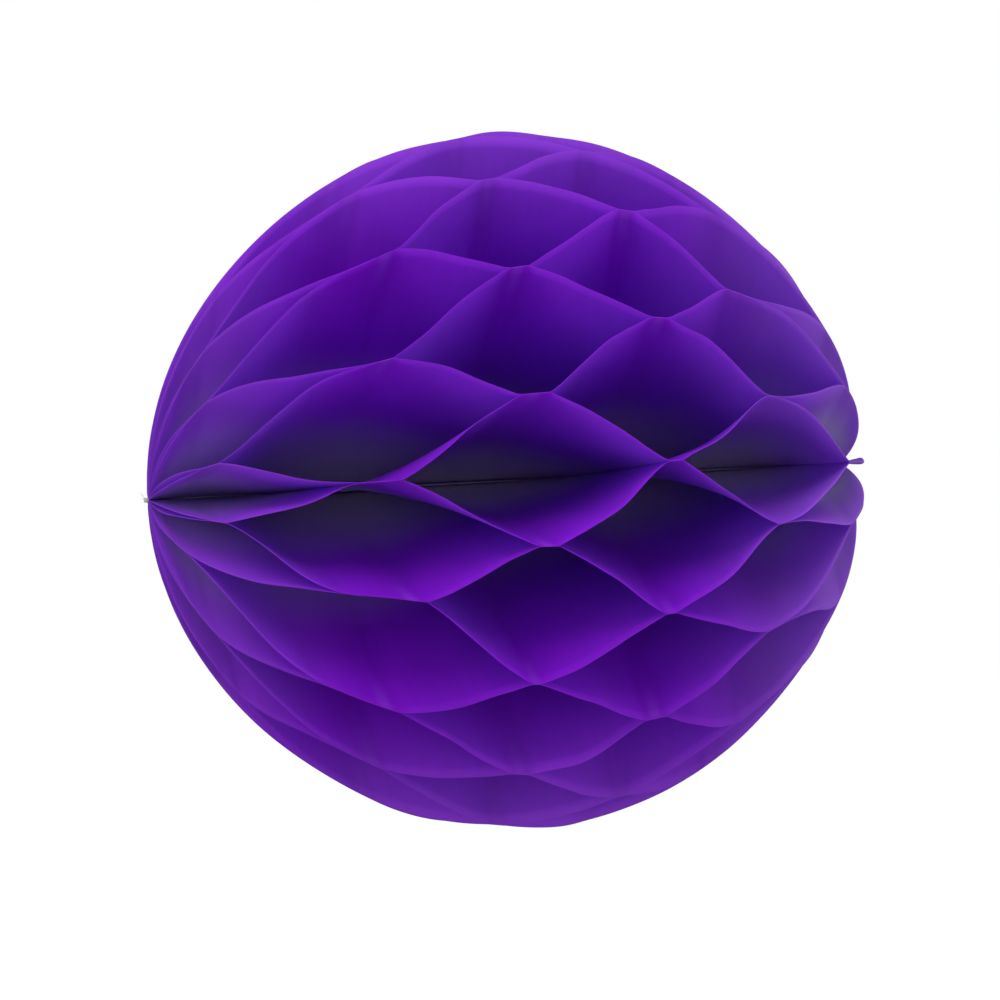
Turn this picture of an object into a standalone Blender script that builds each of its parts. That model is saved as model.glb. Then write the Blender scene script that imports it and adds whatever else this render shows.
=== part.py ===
# Honeycomb paper ball: tissue leaves fanned round a thread and glued to each other in turn.
# Metres, +Z up. The thread lies along X, and the origin is the centre of the ball.
# Each leaf is half of a slightly full ellipse of tissue. It is glued to the leaf above it and to
# the leaf below it along lines that alternate, so it opens into a wave and the leaves form cells.
import bpy
import bmesh
from math import cos, degrees, pi, sin, sqrt
from mathutils import Vector

# Driving dimensions
BALL_RADIUS = 0.050  # outer edge of a leaf, from the thread
SPINE_HALF_LENGTH = 0.0515  # half of a leaf's straight edge, along the thread
FULLNESS = 2.1  # power of the leaf's outline: 2 is an ellipse, more is fuller at the shoulders
LEAF_PAIRS = 17  # pairs, because the glue lines alternate from leaf to leaf
GLUE_PITCH = 0.018  # from one glue line to the next, along a flat leaf
GLUE_WIDTH = 0.0028  # width of a glue line
GLUE_END_MARGIN = 0.003  # paper left between the last glue line and a leaf's end
LEAF_THICKNESS = 0.00012
LEAF_CLEARANCE = 0.0001  # the glue's own room between two leaves
TIP_EDGE = 0.001  # height of a leaf's blunt end at the pole
THREAD_RADIUS = 0.0005
THREAD_CLEARANCE = 0.0003  # least room between the thread and the leaves
THREAD_SHORT_END = 0.0006  # how far the thread stands out of the pole at -X
THREAD_LONG_END = 0.0029  # and out of the pole at +X

# How a leaf runs between its glue lines
ROUNDING = 0.2  # 0 gives straight slopes between glue lines, 1 gives a cosine wave
END_LEAN = 0.28  # how far the slope next to a pole runs ahead towards its inner glue line
TIP_OPENING = 0.65  # how much of its swing a free leaf end gives up at the pole

# How finely a leaf is divided
SLOPE_STOPS = (0.25, 0.75)  # columns on the slope between two glue lines
TIP_STOPS = (0.37, 0.72)  # columns between the last glue line and the pole
RADIAL_STOPS = (0.0, 0.5, 1.0)  # rows from the thread to the outer edge

# Worked out from the dimensions above
LEAF_COUNT = 2 * LEAF_PAIRS
FAN_STEP = 2 * pi / LEAF_COUNT  # angle from one leaf to the next
LEAF_PACK = LEAF_THICKNESS + LEAF_CLEARANCE  # room that one leaf takes beside its neighbour
ROOT_RADIUS = max(LEAF_PACK / FAN_STEP, THREAD_RADIUS + THREAD_CLEARANCE)


def outer_radius(along):
    """Half of a full ellipse: the distance of a leaf's cut edge from the thread."""
    return BALL_RADIUS * (1 - (abs(along) / SPINE_HALF_LENGTH) ** FULLNESS) ** (1 / FULLNESS)


def along_at(radius):
    """The place along the thread where the cut edge has this radius."""
    return SPINE_HALF_LENGTH * (1 - (radius / BALL_RADIUS) ** FULLNESS) ** (1 / FULLNESS)


def glue_lines():
    """Places of the glue lines along a flat leaf, spread evenly about its middle."""
    reach = SPINE_HALF_LENGTH - GLUE_END_MARGIN - GLUE_WIDTH / 2
    half = int(reach / GLUE_PITCH + 0.5)
    return [(i + 0.5 - half) * GLUE_PITCH for i in range(2 * half)]


def swing(along, lines):
    """The leaf's wave: 1 or -1 on a glue line, rounded slopes between, and an easing tip."""
    first, last = lines[0], lines[-1]
    if along < first or along > last:
        sign, line = (1, first) if along < first else ((-1) ** (len(lines) - 1), last)
        free = abs(along - line) - GLUE_WIDTH / 2
        if free <= 0:
            return sign
        share = free / (SPINE_HALF_LENGTH - abs(line) - GLUE_WIDTH / 2)
        return sign * (1 - TIP_OPENING * share)
    index = min(int((along - first) / GLUE_PITCH), len(lines) - 2)
    slope = (along - lines[index] - GLUE_WIDTH / 2) / (GLUE_PITCH - GLUE_WIDTH)
    slope = min(max(slope, 0.0), 1.0)
    if index == 0:
        slope += END_LEAN * sin(pi * slope)
    elif index == len(lines) - 2:
        slope -= END_LEAN * sin(pi * slope)
    sign = (-1) ** index
    return sign * ((1 - ROUNDING) * (1 - 2 * slope) + ROUNDING * cos(pi * slope))


def columns(lines):
    """Places along the thread where a leaf's mesh has a column of points."""
    end = along_at(ROOT_RADIUS + TIP_EDGE)
    half = GLUE_WIDTH / 2
    tip_start = lines[-1] + half
    fall = outer_radius(tip_start) - ROOT_RADIUS - TIP_EDGE
    tip = [along_at(outer_radius(tip_start) - stop * fall) for stop in TIP_STOPS] + [end]
    places = [-place for place in reversed(tip)]
    for index, line in enumerate(lines):
        places += [line - half, line + half]
        if index + 1 < len(lines):
            places += [line + half + stop * (GLUE_PITCH - GLUE_WIDTH) for stop in SLOPE_STOPS]
    return places + tip


def leaf_point(along, stop, side, lines):
    """A point of the opened leaf: the wave swings it, and draws it in towards the middle."""
    radius = ROOT_RADIUS + stop * (outer_radius(along) - ROOT_RADIUS)
    reach = radius * FAN_STEP / 2 - LEAF_PACK / 2
    angle = side * swing(along, lines) * reach / radius
    drawn_in = sqrt(1 - (2 * reach / GLUE_PITCH) ** 2)
    return Vector((along * drawn_in, -radius * cos(angle), -radius * sin(angle)))


def leaf_mesh(name, side, material):
    """The middle surface of one leaf, as a grid of points. side is 1 or -1."""
    lines = glue_lines()
    mesh = bpy.data.meshes.new(name)
    model = bmesh.new()
    grid = [
        [model.verts.new(leaf_point(along, stop, side, lines)) for stop in RADIAL_STOPS]
        for along in columns(lines)
    ]
    for left, right in zip(grid, grid[1:]):
        for row in range(len(RADIAL_STOPS) - 1):
            model.faces.new((left[row], right[row], right[row + 1], left[row + 1]))
    bmesh.ops.recalc_face_normals(model, faces=model.faces)
    model.to_mesh(mesh)
    model.free()
    mesh.shade_smooth()
    mesh.materials.append(material)
    return mesh


def add_leaf(name, mesh, turn):
    """One leaf of paper thickness, turned round the thread to its place in the fan."""
    leaf = bpy.data.objects.new(name, mesh)
    bpy.context.collection.objects.link(leaf)
    leaf.rotation_euler = (turn, 0, 0)
    paper = leaf.modifiers.new("paper", "SOLIDIFY")
    paper.thickness = LEAF_THICKNESS
    paper.offset = 0
    return leaf


def add_thread(name, material):
    """The binding thread, straight along X, with its cut ends past the poles."""
    curve = bpy.data.curves.new(name, "CURVE")
    curve.dimensions = "3D"
    line = curve.splines.new("POLY")
    line.points.add(1)
    line.points[0].co = (-SPINE_HALF_LENGTH - THREAD_SHORT_END, 0, 0, 1)
    line.points[1].co = (SPINE_HALF_LENGTH + THREAD_LONG_END, 0, 0, 1)
    line.use_smooth = True
    curve.bevel_depth = THREAD_RADIUS
    curve.bevel_resolution = 2
    curve.use_fill_caps = True
    curve.materials.append(material)
    thread = bpy.data.objects.new(name, curve)
    bpy.context.collection.objects.link(thread)
    return thread


def surface(name, colour, roughness):
    """A plain material: colour is linear red, green and blue."""
    material = bpy.data.materials.new(name)
    material.use_nodes = True
    shader = material.node_tree.nodes["Principled BSDF"]
    shader.inputs["Base Color"].default_value = (*colour, 1)
    shader.inputs["Roughness"].default_value = roughness
    shader.inputs["Metallic"].default_value = 0
    return material


def build():
    for thing in list(bpy.data.objects):
        bpy.data.objects.remove(thing, do_unlink=True)

    tissue = surface("violet_tissue", (0.13, 0.008, 0.42), 0.85)
    cotton = surface("grey_thread", (0.22, 0.21, 0.24), 0.9)

    # Leaf 1 lies just above the level plane at the front, and the numbers go down from there.
    odd_mesh = leaf_mesh("leaf_odd", -1, tissue)
    even_mesh = leaf_mesh("leaf_even", 1, tissue)
    for number in range(1, LEAF_COUNT + 1):
        mesh = odd_mesh if number % 2 else even_mesh
        add_leaf(f"leaf_{number:02d}", mesh, (number - 1.5) * FAN_STEP)
    add_thread("spine_thread", cotton)
    print("leaves", LEAF_COUNT, "fan step", round(degrees(FAN_STEP), 2), "degrees")


build()
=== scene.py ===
# Honeycomb paper ball: violet tissue leaves fanned round a thread and glued to each other in turn.
# Metres. X runs along the thread, Z is up, and the camera stands on the -Y side.
import math

import bpy
import numpy as np
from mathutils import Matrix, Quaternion, Vector


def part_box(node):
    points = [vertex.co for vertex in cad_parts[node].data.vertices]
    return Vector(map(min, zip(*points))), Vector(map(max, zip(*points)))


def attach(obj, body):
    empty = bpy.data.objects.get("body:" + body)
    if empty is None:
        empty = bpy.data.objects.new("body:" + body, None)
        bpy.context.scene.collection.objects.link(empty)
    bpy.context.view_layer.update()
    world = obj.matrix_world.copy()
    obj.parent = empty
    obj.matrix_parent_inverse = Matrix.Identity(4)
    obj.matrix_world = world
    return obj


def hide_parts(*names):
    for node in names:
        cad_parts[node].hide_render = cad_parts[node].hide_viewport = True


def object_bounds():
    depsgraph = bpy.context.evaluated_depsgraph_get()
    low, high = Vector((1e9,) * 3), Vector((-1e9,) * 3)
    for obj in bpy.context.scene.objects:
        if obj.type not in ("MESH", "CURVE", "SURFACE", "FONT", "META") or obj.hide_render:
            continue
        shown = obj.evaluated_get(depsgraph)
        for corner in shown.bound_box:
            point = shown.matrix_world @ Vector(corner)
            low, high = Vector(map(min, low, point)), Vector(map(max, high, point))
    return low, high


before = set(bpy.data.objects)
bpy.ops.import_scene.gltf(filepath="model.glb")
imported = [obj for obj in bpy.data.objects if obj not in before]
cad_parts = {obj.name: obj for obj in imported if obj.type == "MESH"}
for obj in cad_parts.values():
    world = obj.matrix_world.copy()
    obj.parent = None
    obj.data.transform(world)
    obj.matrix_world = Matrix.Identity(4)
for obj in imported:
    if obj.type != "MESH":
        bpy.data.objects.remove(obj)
cadLow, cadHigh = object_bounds()
leafNodes = sorted(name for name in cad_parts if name.startswith("leaf_"))
threadNode = "spine_thread"
print("frame loaded with", len(leafNodes), "leaves")


class Wire:  # one socket of a material, with the sums that are used below
    def __init__(self, tree, socket=None):
        self.tree = tree
        self.socket = socket

    # Any node: its settings are set first, then values or wires go to its inputs
    def node(self, kind, settings=None, inputs=None, output=0):
        made = self.tree.nodes.new(kind)
        for name, value in (settings or {}).items():
            setattr(made, name, value)
        for name, value in (inputs or {}).items():
            if isinstance(value, Wire):
                self.tree.links.new(value.socket, made.inputs[name])
            else:
                made.inputs[name].default_value = value
        return Wire(self.tree, made.outputs[output] if len(made.outputs) else None)

    def maths(self, operation, *values):
        return self.node("ShaderNodeMath", {"operation": operation}, dict(enumerate(values)))

    def __add__(self, other):
        return self.maths("ADD", self, other)

    __radd__ = __add__

    def __sub__(self, other):
        return self.maths("SUBTRACT", self, other)

    def __rsub__(self, other):
        return self.maths("SUBTRACT", other, self)

    def __mul__(self, other):
        return self.maths("MULTIPLY", self, other)

    __rmul__ = __mul__

    def __abs__(self):
        return self.maths("ABSOLUTE", self)

    def fraction(self):
        return self.maths("FRACT", self)

    # The larger of this and another
    def most(self, other):
        return self.maths("MAXIMUM", self, other)

    # The three numbers of a vector
    def split(self):
        made = self.node("ShaderNodeSeparateXYZ", None, {0: self}).socket.node
        return [Wire(self.tree, output) for output in made.outputs]

    # A place, stretched by a number for each axis
    def stretched(self, scale):
        return self.node("ShaderNodeMapping", None, {0: self, "Scale": scale})

    # Noise at a place, with this many clouds for each unit of it
    def noise(self, clouds, detail):
        return self.node("ShaderNodeTexNoise", None, {0: self, "Scale": clouds, "Detail": detail})

    # 0 below the first edge, 1 above the second, eased between
    def step(self, first, second):
        settings = {"interpolation_type": "SMOOTHSTEP"}
        return self.node("ShaderNodeMapRange", settings, {0: self, 1: first, 2: second})

    # A mix of two colours, by this wire as the share of the second
    def blend(self, first, second):
        settings = {"data_type": "RGBA"}
        return self.node("ShaderNodeMix", settings, {0: self, 6: first, 7: second}, 2)


def newMaterial(name):
    material = bpy.data.materials.new(name)
    material.use_nodes = True
    tree = material.node_tree
    tree.nodes.clear()
    return material, Wire(tree)


def addObject(name, data):
    made = bpy.data.objects.new(name, data)
    bpy.context.collection.objects.link(made)
    return made


# The leaves

ball = {
    "radius": (cadHigh.z - cadLow.z) / 2,  # outer edge of a leaf, from the thread
    "spineHalf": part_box(leafNodes[0])[1].x,  # half of a leaf's straight edge
    "fullness": 2.1,  # power of a leaf's outline: 2 is an ellipse, more is fuller
    "gluePitch": 0.018,  # from one glue line to the next, along a flat leaf
    "glueWidth": 0.0024,
    "glueLines": 6,
    "rounding": 0.15,  # 0 is straight between glue lines, 1 is a cosine wave
    "endLean": 0.28,  # how far the slope next to a pole runs ahead to its inner glue line
    "tipKeep": 0.35,  # how much of its swing a free leaf end keeps at the pole
    "sheet": 0.00005,  # paper thickness
    "glueGap": 0.00001,  # room between two leaves that are glued
    "root": 0.00034,  # inner edge of a leaf at the poles, from the middle of the thread
    "innerRoot": 0.00078,  # and between them, where the glue makes the thread thicker
    "rootEase": (0.002, 0.007),  # how far in from a pole it starts to change and is done
    "tipEdge": 0.001,  # height of a leaf's blunt end
}

finish = {
    "columns": 170,  # points along a leaf
    "rows": 30,  # points from the thread to the cut edge
    "strayTurn": math.radians(0.8),  # how far unseen junctions stray round the thread
    "strayPlace": 0.0006,  # and along it
    "strayWidth": 0.35,  # how much the glue lines' widths differ, as a share
    "strayBow": math.radians(0.7),  # how far unseen slopes sag or lift between glue lines
    "ripple": 0.00022,  # height of the ripples in a leaf
    "rippleLengths": (0.021, 0.013, 0.0075),
    "rippleLean": 0.35,  # how far they lean from straight out, as a slope
    "rippleFall": 1.5,  # more makes the short ripples nearly as high as the long ones
    "rippleGrowth": 1.5,  # power by which they grow from the thread to the cut edge
    "cutWander": 0.0020,  # waviness of the cut edge, as a share of the radius
    "cutWaves": (7, 12, 19),  # half waves from pole to pole
    "cutPhase": 3,  # how far each of these waves is shifted at most, in radians
}

# How far the photographed ball's junctions stray from an even lattice.
# (leaf above the junction, glue line from the left): degrees downwards, millimetres to the right
seenStray = {
    (-4, 0): (0.2, -1.4), (-4, 2): (0.7, -0.1),
    (-3, 1): (1.0, 1.7), (-3, 3): (-0.9, 1.3),
    (-2, 0): (0.5, -1.7), (-2, 2): (0.0, 0.2), (-2, 4): (1.6, -2.2),
    (-1, 1): (0.7, -0.6), (-1, 3): (-1.2, 2.0), (-1, 5): (-1.2, 0.8),
    (0, 0): (1.6, -1.2), (0, 2): (-0.6, -0.4), (0, 4): (-0.6, 0.7),
    (1, 1): (0.1, -2.3), (1, 3): (-0.5, 1.7), (1, 5): (1.1, 0.7),
    (2, 0): (-1.4, -0.9), (2, 2): (0.2, 0.3), (2, 4): (0.6, 1.4),
    (3, 1): (-1.1, 0.8), (3, 3): (1.1, 1.0), (3, 5): (-2.4, -0.6),
    (4, 0): (-5.1, -4.4), (4, 2): (0.8, -0.6), (4, 4): (-0.5, 1.0),
    (5, 1): (0.4, -1.4), (5, 3): (-1.1, 0.9), (5, 5): (5.0, 0.6),
    (6, 0): (-0.5, -1.8), (6, 2): (-0.8, -0.4),
    (7, 1): (-2.5, -1.5),
}

# The glue lines that show a clearly wider or narrower join there, in millimetres
seenWidth = {
    (0, 0): 1.0, (0, 2): 4.4, (0, 4): 1.2, (1, 1): 4.6, (1, 3): 2.4, (1, 5): 6.0, (2, 0): 1.2,
    (2, 2): 3.0, (2, 4): 1.2, (3, 1): 3.6, (3, 3): 1.6, (4, 0): 1.2, (4, 2): 1.4, (4, 4): 1.2,
    (5, 1): 3.6, (-1, 1): 1.6, (-1, 3): 3.0, (-2, 0): 1.2,
}

# Where a seen leaf sags or lifts between two glue lines. (leaf, glue line to the left): degrees
# downwards at the middle of the slope
seenBow = {
    (-2, 0): -1.5, (-1, 3): 0.4, (-1, 4): -1.0,
    (0, 0): -1.3, (0, 2): -1.0, (0, 3): -1.5, (0, 4): -0.4,
    (1, 1): -0.9, (1, 2): -0.5, (1, 3): 1.2, (1, 4): 0.0,
    (2, 0): 2.2, (2, 1): 0.6, (2, 2): 1.2, (3, 0): 2.2, (3, 1): -0.5, (3, 3): 1.4, (3, 4): 0.5,
    (4, 0): 0.6, (4, 3): -0.5, (5, 0): 2.2, (6, 2): 2.0,
}

leafCount = len(leafNodes)
fanStep = 2 * math.pi / leafCount
stations = np.arange(ball["glueLines"])


# A repeatable number from -1 to 1 for each pair of whole numbers: the fraction of a steep sine
def scatter(first, second, seed):
    wave = np.sin(first * 12.9898 + second * 78.233 + seed * 37.719) * 43758.5453
    return 2 * (wave - np.floor(wave)) - 1


# Tables of each junction's stray and width, by leaf above it and glue line: radians and metres
def junctionStrays():
    above, line = np.meshgrid(np.arange(leafCount), stations, indexing="ij")
    turn = finish["strayTurn"] * scatter(above, line, 1)
    place = finish["strayPlace"] * scatter(above, line, 2)
    width = ball["glueWidth"] * (1 + finish["strayWidth"] * scatter(above, line, 7))
    for (leaf, station), (degrees, millimetres) in seenStray.items():
        turn[leaf % leafCount, station] = math.radians(degrees)
        place[leaf % leafCount, station] = millimetres / 1000
    for (leaf, station), millimetres in seenWidth.items():
        width[leaf % leafCount, station] = millimetres / 1000
    return turn, place, width


strayTurn, strayPlace, joinWidth = junctionStrays()


# The path of one leaf from pole to pole: where its glue lines are and how wide, how far each is
# turned round the thread, which way it keeps off the leaf that it is glued to, and the sag of
# each slope between two glue lines
def leafPath(number):
    glued = (number + stations) % 2 == 0  # on these lines it is glued to the next leaf down
    above = np.where(glued, number, number - 1)
    junction = above % leafCount, stations
    turn = (above - 1) * fanStep + strayTurn[junction]
    middle = (ball["glueLines"] - 1) / 2
    place = (stations - middle) * ball["gluePitch"] + strayPlace[junction]
    keepOff = np.where(glued, -0.5, 0.5) * (ball["sheet"] + ball["glueGap"])
    bow = finish["strayBow"] * scatter(number, stations[:-1], 8)
    for (leaf, station), degrees in seenBow.items():
        if leaf % leafCount == number % leafCount:
            bow[station] = math.radians(degrees)
    return place, joinWidth[junction] / 2, turn, keepOff, bow


# Glue lines counted along the leaf: whole and level across a glue line, and eased between two by
# a straight line mixed with half a cosine. The slope next to each pole runs ahead by half a sine.
# Free ends leave the last line level and curve away.
def glueCount(along, place, half):
    end, last = ball["spineHalf"], len(stations) - 1
    knots = np.concatenate([[-end], np.stack([place - half, place + half], 1).ravel(), [end]])
    counts = np.concatenate([[-1], np.repeat(stations, 2), [last + 1]])
    count = np.interp(along, knots, counts)
    whole = np.clip(np.floor(count), -1, last)
    part = count - whole
    lean = ball["endLean"] * np.sin(np.pi * part)
    slope = part + np.where(whole == 0, lean, 0) - np.where(whole == last - 1, lean, 0)
    eased = (1 - ball["rounding"]) * slope + ball["rounding"] * (1 - np.cos(np.pi * slope)) / 2
    eased = np.where(whole < 0, np.sin(np.pi / 2 * part), eased)
    eased = np.where(whole == last, 1 - np.cos(np.pi / 2 * part), eased)
    return whole + eased, part


# Low waves along the leaf and out from the thread, a sum of sines that is nothing on a glue line
# and highest between two, near the cut edge
def ripples(number, along, share, part):
    height = 0
    for wave, length in enumerate(finish["rippleLengths"]):
        lean = finish["rippleLean"] * scatter(number, wave, 3)
        phase = np.pi * scatter(number, wave, 4)
        path = along / length + lean * share * ball["radius"] / length
        height = height + np.sin(2 * np.pi * path + phase) / (wave + finish["rippleFall"])
    return finish["ripple"] * height * np.sin(np.pi * part) ** 2 * share ** finish["rippleGrowth"]


# One leaf's outline, half of a full ellipse with a cut edge that wanders by a sum of sines: places
# along the thread, and the leaf's inner and outer radius at each
def leafOutline(number):
    sweep = np.linspace(-np.pi / 2, np.pi / 2, finish["columns"])[:, None]
    along = ball["spineHalf"] * np.sin(sweep)
    inside = np.maximum(1 - np.abs(np.sin(sweep)) ** ball["fullness"], 0)
    outer = ball["radius"] * inside ** (1 / ball["fullness"])
    phases = [(rate, finish["cutPhase"] * scatter(number, rate, 5)) for rate in finish["cutWaves"]]
    wander = sum(np.sin(sweep * rate + phase) for rate, phase in phases)
    outer = outer * (1 + finish["cutWander"] / len(phases) * (wander - 1))
    outer = np.maximum(outer, ball["root"] + ball["tipEdge"])
    fromPole = ball["spineHalf"] - np.abs(along)
    root = np.interp(fromPole, ball["rootEase"], [ball["root"], ball["innerRoot"]])
    return along, root, outer


# The middle surface of one leaf on a grid: its outline, turned round the thread by its path, with
# the sag of each slope as a squared sine. It is drawn in towards the middle as it opens, by the
# root of 1 less the square of its slope. Two maps go with it: glue lines counted and the distance
# from the thread, and the distance from the cut edge.
def leafSurface(number):
    place, half, turn, keepOff, bow = leafPath(number)
    along, root, outer = leafOutline(number)
    share = np.linspace(0, 1, finish["rows"])[None, :]
    radius = root + share * (outer - root)

    count, part = glueCount(along, place, half)
    mean = (number - 1.5) * fanStep
    ends = [mean + ball["tipKeep"] * (turn[end] - mean) for end in (0, -1)]
    knots = np.arange(-1, len(stations) + 1)
    swung = np.interp(count, knots, [ends[0], *turn, ends[1]])
    slope = np.clip(np.floor(count).astype(int), -1, len(bow))
    swung += np.append(bow, [0, 0])[slope] * np.sin(np.pi * part) ** 2  # no sag in the free ends
    offset = np.interp(count, knots, [keepOff[0], *keepOff, keepOff[-1]])
    angle = swung + (offset + ripples(number, along, share, part)) / radius
    opened = radius * fanStep / ball["gluePitch"]
    x = along * np.sqrt(1 - opened ** 2)
    points = np.stack([x, -radius * np.cos(angle), -radius * np.sin(angle)], -1)

    lines = np.interp(along, [-ball["spineHalf"], *place, ball["spineHalf"]], knots)
    counted = (lines + 1) / (len(stations) + 1)
    marks = np.stack(np.broadcast_arrays(counted, radius / ball["radius"]), -1)
    cut = np.stack(np.broadcast_arrays((outer - radius) / ball["radius"], share), -1)
    return points, {"glueMap": marks, "cutMap": cut}


# Both faces of a sheet and its rim, as corners of four-sided faces. The grid runs along the
# leaf, then outwards, and the second face repeats it with the corners the other way round.
def sheetFaces(columns, rows):
    front = np.arange(columns * rows).reshape(columns, rows)
    back = front + columns * rows
    faces = [np.stack([front[:-1, :-1], front[1:, :-1], front[1:, 1:], front[:-1, 1:]], -1)]
    faces.append(np.stack([back[:-1, :-1], back[:-1, 1:], back[1:, 1:], back[1:, :-1]], -1))
    faces = [part.reshape(-1, 4) for part in faces]
    loop = np.concatenate([front[::-1, 0], front[0, 1:], front[1:, -1], front[-1, -2:0:-1]])
    after = np.roll(loop, -1)
    rim = np.stack([loop, after, after + columns * rows, loop + columns * rows], -1)
    return np.concatenate(faces), rim


# A mesh of four-sided faces straight from arrays. Rim faces are flat, the others smooth.
def sheetMesh(name, points, maps):
    columns, rows, _ = points.shape
    acrossLeaf = np.gradient(points, axis=0)
    outwards = np.gradient(points, axis=1)
    normal = np.cross(acrossLeaf, outwards)
    normal /= np.linalg.norm(normal, axis=-1, keepdims=True)
    skin = normal * ball["sheet"] / 2
    corners = np.concatenate([points + skin, points - skin]).reshape(-1, 3)
    smooth, rim = sheetFaces(columns, rows)
    faces = np.concatenate([smooth, rim])
    mesh = bpy.data.meshes.new(name)
    mesh.vertices.add(len(corners))
    mesh.vertices.foreach_set("co", corners.ravel())
    mesh.loops.add(faces.size)
    mesh.loops.foreach_set("vertex_index", faces.ravel())
    mesh.polygons.add(len(faces))
    mesh.polygons.foreach_set("loop_start", np.arange(0, faces.size, 4))
    mesh.polygons.foreach_set("use_smooth", np.arange(len(faces)) < len(smooth))
    mesh.update(calc_edges=True)
    for mapName, marks in maps.items():
        both = np.concatenate([marks, marks]).reshape(-1, 2)
        layer = mesh.uv_layers.new(name=mapName)
        layer.data.foreach_set("uv", both[faces.ravel()].ravel())
    return mesh


paper = {
    "fresh": (0.275, 0.006, 0.690, 1),  # reflected colour of one leaf
    "worn": (0.225, 0.005, 0.590, 1),
    "clouds": 90,  # clouds of dye for each metre
    "streaks": (150, 5, 1),  # streaks of dye from pole to pole, and from the thread to the edge
    "cloudShare": 0.6,  # the streaks have the rest
    "dyeRange": (0.35, 0.65),  # levels of both at which the paper is worn and fresh
    "root": (0.880, 0.840, 0.930, 1),  # painted pale haze near the thread, lifting the shaded depths of the cells
    "depthLightShare": 0.96,
    "depthLightFull": 0.05,  # share of the ball's radius out to which the painted haze is full
    "depthLightReach": 0.029,  # how far out from the thread the painted haze thins away
    "edgeWithoutDepthLight": 0.02,  # share of the ball's radius that has none, in from the cut edge
    "depthLightFromEdge": 0.015,  # how far in from the cut edge the painted haze is full
    "leftDepthLight": 0.38,  # share of the painted haze that the left end has
    "leftDepthLightRange": (-0.045, -0.020),  # places along the thread between which it grows to all of it
    "glue": (0.360, 0.080, 0.760, 1),  # where two leaves lie together, the dye is milkier; the painted highlight at the cut edge uses this colour too
    "glueShare": 0.28,
    "glueFade": (0.1, 0.45),  # widths of a glue line, from its middle, between which it fades
    "glueReach": 0.007,  # how far in from the cut edge the milky stripe shows
    "edgeLightShare": 0.06,  # painted highlight along the cut edge, as a share
    "edgeLightWidth": 0.0006,
    # painted pale light: the milky colour painted where light washes over the ball's right end and
    # rim
    "paintedPaleLight": (0.500, 0.300, 0.780, 1),
    "rightPaleLight": 0.45,  # painted pale light: the leaves' ends by the long thread end are painted palest
    "rightLightReach": (0.008, 0.050),  # places along the thread where that starts and is full
    "rimPaleLight": 0.16,  # painted pale light: the ball's top, its underside and its left end are painted a little paler
    "rimLightReach": (0.026, 0.048),  # distances from the middle where that starts and is full
    "through": (0.500, 0.220, 0.840, 1),  # colour of the light that a leaf lets through
    "letThrough": 0.42,  # share of the light that goes through one face
    "sheen": 0.04,
    "sheenRoughness": 0.5,
    "sheenTint": (0.85, 0.75, 1.0, 1),
    "roughness": 0.75,
    "gloss": 0.06,
    "fibreSize": 0.0005,
    "fibreRelief": 0.00004,
    "reliefStrength": 0.6,
    "reliefShares": (0.7, 0.5, 0.6),  # of the fibres, the streaks and the glue lines
}


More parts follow.
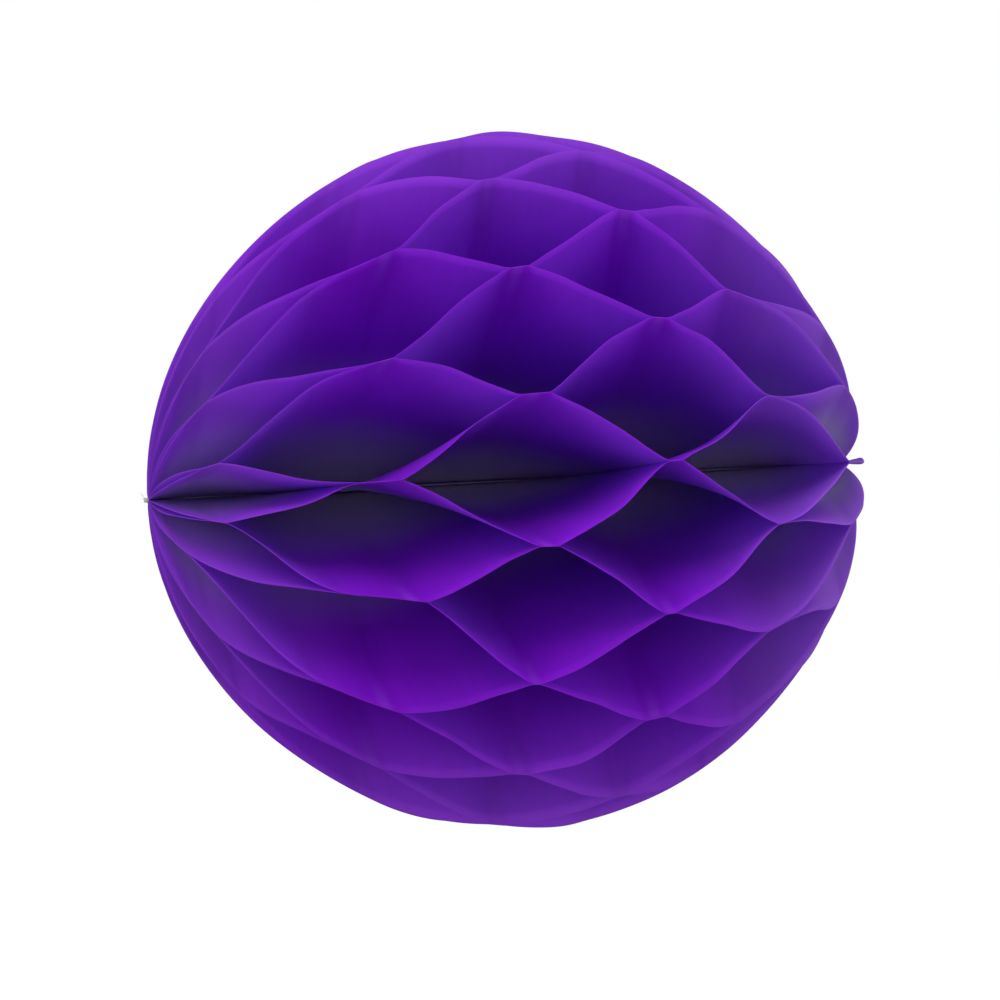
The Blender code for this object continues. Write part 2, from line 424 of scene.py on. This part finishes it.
# Tissue: cloudy dye with streaks that run out from the thread, painted paler as light towards the
# long thread end and a little at the ball's top, underside and other end. Painted pale haze lifts
# the shaded depths by the thread; it is milky along glue lines, with a painted highlight at the cut
# edge.
def violetTissue():
    material, start = newMaterial("violetTissue")
    uv = start.node("ShaderNodeUVMap", {"uv_map": "glueMap"})
    counted, radius = uv.split()[:2]
    toEdge = start.node("ShaderNodeUVMap", {"uv_map": "cutMap"}).split()[0]
    place = start.node("ShaderNodeTexCoord", output="Object")
    along, _, height = place.split()

    streak = uv.stretched(paper["streaks"]).noise(1, 3)
    dye = place.noise(paper["clouds"], 4) * paper["cloudShare"] + streak * (1 - paper["cloudShare"])
    colour = dye.step(*paper["dyeRange"]).blend(paper["worn"], paper["fresh"])

    # Painted pale light: paler towards the long thread end and at the ball's top, underside and
    # left end
    outer = (0 - along).most(abs(height))
    paintedPaleLight = along.step(*paper["rightLightReach"]) * paper["rightPaleLight"]
    paintedPaleLight = paintedPaleLight.most(outer.step(*paper["rimLightReach"]) * paper["rimPaleLight"])
    colour = paintedPaleLight.blend(colour, paper["paintedPaleLight"])

    # Painted light: a pale haze near the thread that lifts the shaded depths, kept off the cut edge
    # and weaker at the left end
    paintedDepthLight = 1 - radius.step(paper["depthLightFull"], paper["depthLightReach"] / ball["radius"])
    paintedDepthLight = paintedDepthLight * paper["depthLightShare"]
    paintedDepthLight = paintedDepthLight * toEdge.step(paper["edgeWithoutDepthLight"], paper["depthLightFromEdge"] / ball["radius"])
    paintedDepthLight = paintedDepthLight * (along.step(*paper["leftDepthLightRange"]) * (1 - paper["leftDepthLight"]) + paper["leftDepthLight"])
    colour = paintedDepthLight.blend(colour, paper["root"])

    counted = counted * (ball["glueLines"] + 1) - 1
    fromLine = abs((counted + 0.5).fraction() - 0.5) * ball["gluePitch"]
    glued = 1 - fromLine.step(*[ball["glueWidth"] * width for width in paper["glueFade"]])
    glued = glued * (1 - toEdge.step(0, paper["glueReach"] / ball["radius"]))
    # Painted highlight along the cut edge; the next line joins it to the milky glue lines
    paleEdge = 1 - toEdge.step(0, paper["edgeLightWidth"] / ball["radius"])
    milky = (glued * paper["glueShare"]).most(paleEdge * paper["edgeLightShare"])
    colour = milky.blend(colour, paper["glue"])

    fibreShare, streakShare, glueShare = paper["reliefShares"]
    fibre = place.noise(1 / paper["fibreSize"], 2)
    relief = fibre * fibreShare + streak * streakShare + glued * glueShare
    bump = start.node("ShaderNodeBump", None, {
        "Distance": paper["fibreRelief"], "Strength": paper["reliefStrength"], "Height": relief,
    })
    shader = start.node("ShaderNodeBsdfPrincipled", None, {
        "Base Color": colour, "Roughness": paper["roughness"],
        "Specular IOR Level": paper["gloss"], "Sheen Weight": paper["sheen"],
        "Sheen Roughness": paper["sheenRoughness"], "Sheen Tint": paper["sheenTint"],
        "Normal": bump,
    })
    through = start.node("ShaderNodeBsdfTranslucent", None, {0: paper["through"], "Normal": bump})
    both = start.node("ShaderNodeMixShader", None, {0: paper["letThrough"], 1: shader, 2: through})
    start.node("ShaderNodeOutputMaterial", None, {"Surface": both})
    return material


tissue = violetTissue()
for number, node in enumerate(leafNodes, 1):
    name = f"tissue_{node}"
    piece = addObject(name, sheetMesh(name, *leafSurface(number)))
    piece.data.materials.append(tissue)
    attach(piece, "root")
    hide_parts(node)
print("leaves made:", leafCount)


# The thread

thread = {
    "radius": 0.00030,
    "swell": 1.75,  # how much thicker the glue makes it between the leaves, as a share
    "plies": 2,
    "plyDepth": 0.16,  # how deep the groove between plies is, as a share of the radius
    "filled": 0.8,  # how much of that groove the glue fills between the leaves
    "twistLength": 0.0022,
    "rings": 420,
    "around": 20,
    "thinTip": 0.0030,  # length over which the long end thins to a point
    "tipShare": 0.2,
    "fibres": 9,  # frayed out of the short end
    "fibreRadius": 0.00003,
    "fibreTaper": 0.6,  # how much thinner one is at its free end, as a share
    "fibreLength": 0.0011,  # of the longest
    "fibreSpread": 0.6,  # share of the thread's radius that they start in
    "fibreInset": 0.0006,  # how far inside the thread's end they start
    "fibreLean": 0.0005,  # how far one bends sideways at most
    "fibreLift": 1.6,  # how far they bend up beyond that, as a share of it
    "fibreRings": 7,
    "fibreAround": 5,
    "colour": (0.20, 0.19, 0.22, 1),
    "pale": (0.50, 0.47, 0.45, 1),
    "paleShare": 0.6,
    "paleRange": (0.4, 0.7),  # noise levels between which a fibre turns pale
    "frayedPart": (-0.0006, 0.0004),  # places from the short end's pole between which it darkens
    "stainedAndShaded": (0.33, 0.25, 0.53, 1),  # inside the ball, where the paper's dye has come off on it, kept dark as painted shade of the folds round it
    "stainedAndShadedFrom": (0.0030, 0.0010),  # distances in from a pole where that is full and starts
    "grain": (900, 6000, 6000),  # cotton fibres for each metre, along the thread and across it
    "relief": 0.00003,
    "roughness": 0.85,
    "gloss": 0.2,
    "sheen": 0.3,
}


# A tube: rings of points round a path, each ring's radius given per point, closed by a point
# at each end. The path's rings stand across X, which is near enough for short thread ends.
def tube(path, radius):
    rings, around = radius.shape
    angle = np.linspace(0, 2 * np.pi, around, endpoint=False)[None, :]
    section = np.stack([0 * radius, radius * np.cos(angle), radius * np.sin(angle)], -1)
    points = section + path[:, None, :]
    index = np.arange(rings * around).reshape(rings, around)
    after = np.roll(index, -1, axis=1)
    sides = np.stack([index[:-1], index[1:], after[1:], after[:-1]], -1).reshape(-1, 4)
    first, last = rings * around, rings * around + 1
    faces = [list(face) for face in sides]
    faces += [[first, index[0, i], after[0, i]] for i in range(around)]
    faces += [[last, after[-1, i], index[-1, i]] for i in range(around)]
    return np.concatenate([points.reshape(-1, 3), path[:1], path[-1:]]), faces


# The plied thread: a section with one lobe for each ply, which turns steadily along its length,
# thins to a point at the long end and is thicker and smoother with glue between the leaves
def pliedTube(low, high):
    stop = np.linspace(low.x, high.x, thread["rings"])
    path = np.stack([stop, 0 * stop, 0 * stop], -1)
    angle = np.linspace(0, 2 * np.pi, thread["around"], endpoint=False)[None, :]
    twist = stop[:, None] * 2 * np.pi / thread["twistLength"]
    held = np.interp(ball["spineHalf"] - np.abs(stop), ball["rootEase"], [0, 1])[:, None]
    depth = thread["plyDepth"] * (1 - thread["filled"] * held)
    radius = thread["radius"] * (1 + depth * np.cos(thread["plies"] * angle - twist))
    radius *= np.interp(high.x - stop, [0, thread["thinTip"]], [thread["tipShare"], 1])[:, None]
    radius *= 1 + thread["swell"] * held
    return tube(path, radius)


# One frayed fibre: a thin tube that bends away by the square of its length
def frayedFibre(low, number):
    chance = [scatter(number, use, 6) for use in range(1, 6)]
    run = np.linspace(1, 0, thread["fibreRings"])[:, None]
    start = thread["fibreSpread"] * thread["radius"] * np.array(chance[0:2])
    lean = thread["fibreLean"] * np.array([chance[2], thread["fibreLift"] + chance[3]])
    length = thread["fibreLength"] * (0.75 + 0.25 * chance[4])  # from half of it to all of it
    along = low.x + thread["fibreInset"] - length * run
    strand = np.concatenate([along, start + lean * run ** 2], 1)
    thin = thread["fibreRadius"] * (1 - thread["fibreTaper"] * run)
    return tube(strand, thin * np.ones((1, thread["fibreAround"])))


# The plied thread and its frayed fibres, joined in one mesh
def bindingThread():
    low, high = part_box(threadNode)
    points, faces = pliedTube(low, high)
    for fibre in range(thread["fibres"]):
        more, moreFaces = frayedFibre(low, fibre)
        faces += [[corner + len(points) for corner in face] for face in moreFaces]
        points = np.concatenate([points, more])
    mesh = bpy.data.meshes.new("bindingThread")
    mesh.from_pydata(points.tolist(), [], [[int(corner) for corner in face] for face in faces])
    mesh.update()
    mesh.shade_smooth()
    return mesh


# Cotton: pale fibres on grey, drawn out along the thread, stained by the paper and darkened as
# painted shade inside the ball, and palest at the frayed end
def greyCotton():
    material, start = newMaterial("greyCotton")
    place = start.node("ShaderNodeTexCoord", output="Object")
    along = place.split()[0]
    fibre = place.stretched(thread["grain"]).noise(1, 3)
    paleEdge = 1 - along.step(*[stop - ball["spineHalf"] for stop in thread["frayedPart"]])
    light = (fibre.step(*thread["paleRange"]) * thread["paleShare"]).most(paleEdge)
    colour = light.blend(thread["colour"], thread["pale"])
    # Inside the ball: the paper's dye stain, darkened as painted shade of the folds by the thread
    inside = 1 - abs(along).step(*[ball["spineHalf"] - depth for depth in thread["stainedAndShadedFrom"]])
    colour = inside.blend(colour, thread["stainedAndShaded"])
    bump = start.node("ShaderNodeBump", None, {"Distance": thread["relief"], "Height": fibre})
    shader = start.node("ShaderNodeBsdfPrincipled", None, {
        "Base Color": colour, "Roughness": thread["roughness"],
        "Specular IOR Level": thread["gloss"], "Sheen Weight": thread["sheen"], "Normal": bump,
    })
    start.node("ShaderNodeOutputMaterial", None, {"Surface": shader})
    return material


piece = addObject("binding_thread", bindingThread())
piece.data.materials.append(greyCotton())
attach(piece, "root")
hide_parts(threadNode)
print("thread made")


# The studio

studio = {
    "floorDrop": 0.25,  # floor below the middle of the ball, which hangs
    "floorSize": 8.0,
    "floorColour": (0.74, 0.74, 0.74, 1),
    "floorWhite": 0.7,  # how much of the floor's own white a direct look sees
    "floorGlow": 1.2,
    "white": (1, 1, 1, 1),
    "skyLight": 0.77,
    "keyPower": 4.9,
    "keyPlace": (-0.10, -0.42, 0.68),
    "keySize": 0.7,
    "fillPower": 0.6,
    "fillPlace": (0.08, -0.87, -0.02),
    "fillSize": 0.5,
}

view = {
    "distance": 0.319,  # about six times the ball's radius
    "yaw": 14.2,  # degrees that the left pole is turned towards the camera
    "lift": -1.1,  # degrees that the camera stands above the middle
    "roll": 3.35,  # degrees that the right pole stands above the left
    "lens": 79.55,
    "sensor": 36,
    "shiftX": -0.0078,
    "shiftY": -0.0192,
    "nearest": 0.01,  # nothing closer to the camera than this is seen
    "bounces": 12,  # light has to bounce this often to reach the folds by the thread
}


# 1 for direct looks, mirror rays and rays through glass, which see plain white
def seenDirectly(start):
    rays = "Is Camera Ray", "Is Glossy Ray", "Is Transmission Ray"
    direct, mirrored, through = [start.node("ShaderNodeLightPath", output=ray) for ray in rays]
    return direct.most(mirrored).most(through)


def addWorld():
    world = bpy.data.worlds.new("studioAir")
    bpy.context.scene.world = world
    world.use_nodes = True
    world.node_tree.nodes.clear()
    start = Wire(world.node_tree)
    light = start.node("ShaderNodeBackground", None, {0: studio["white"], 1: studio["skyLight"]})
    white = start.node("ShaderNodeBackground", None, {0: studio["white"], 1: 1.0})
    sky = start.node("ShaderNodeMixShader", None, {0: seenDirectly(start), 1: light, 2: white})
    start.node("ShaderNodeOutputWorld", None, {"Surface": sky})


def addFloor():
    half = studio["floorSize"] / 2
    corners = [(-half, -half), (half, -half), (half, half), (-half, half)]
    mesh = bpy.data.meshes.new("studioFloor")
    mesh.from_pydata([(x, y, -studio["floorDrop"]) for x, y in corners], [], [(0, 1, 2, 3)])
    floor = addObject("studioFloor", mesh)
    material, start = newMaterial("studioFloor")
    matt = start.node("ShaderNodeBsdfDiffuse", None, {0: studio["floorColour"]})
    glow = start.node("ShaderNodeEmission", None, {0: studio["white"], 1: studio["floorGlow"]})
    share = seenDirectly(start) * studio["floorWhite"]
    both = start.node("ShaderNodeMixShader", None, {0: share, 1: matt, 2: glow})
    start.node("ShaderNodeOutputMaterial", None, {"Surface": both})
    mesh.materials.append(material)


def addLamp(name, power, place, size):
    data = bpy.data.lights.new(name, "AREA")
    data.energy = power
    data.size = size
    lamp = addObject(name, data)
    lamp.location = place
    lamp.rotation_euler = (-Vector(place)).to_track_quat("-Z", "Y").to_euler()


def addCamera():
    data = bpy.data.cameras.new("photoView")
    data.lens = view["lens"]
    data.sensor_width = view["sensor"]
    data.shift_x = view["shiftX"]
    data.shift_y = view["shiftY"]
    data.clip_start = view["nearest"]
    camera = addObject("photoView", data)
    yaw, lift = math.radians(view["yaw"]), math.radians(view["lift"])
    level = math.cos(lift)
    side = Vector((-math.sin(yaw) * level, -math.cos(yaw) * level, math.sin(lift)))
    camera.location = side * view["distance"]
    aim = (-side).to_track_quat("-Z", "Y")
    roll = Quaternion((0, 0, 1), -math.radians(view["roll"]))
    camera.rotation_euler = (aim @ roll).to_euler()
    bpy.context.scene.camera = camera


addWorld()
addFloor()
addLamp("keyLamp", studio["keyPower"], studio["keyPlace"], studio["keySize"])
addLamp("fillLamp", studio["fillPower"], studio["fillPlace"], studio["fillSize"])
addCamera()
bpy.context.scene.view_settings.view_transform = "Standard"
bpy.context.scene.cycles.diffuse_bounces = view["bounces"]
print("studio made")
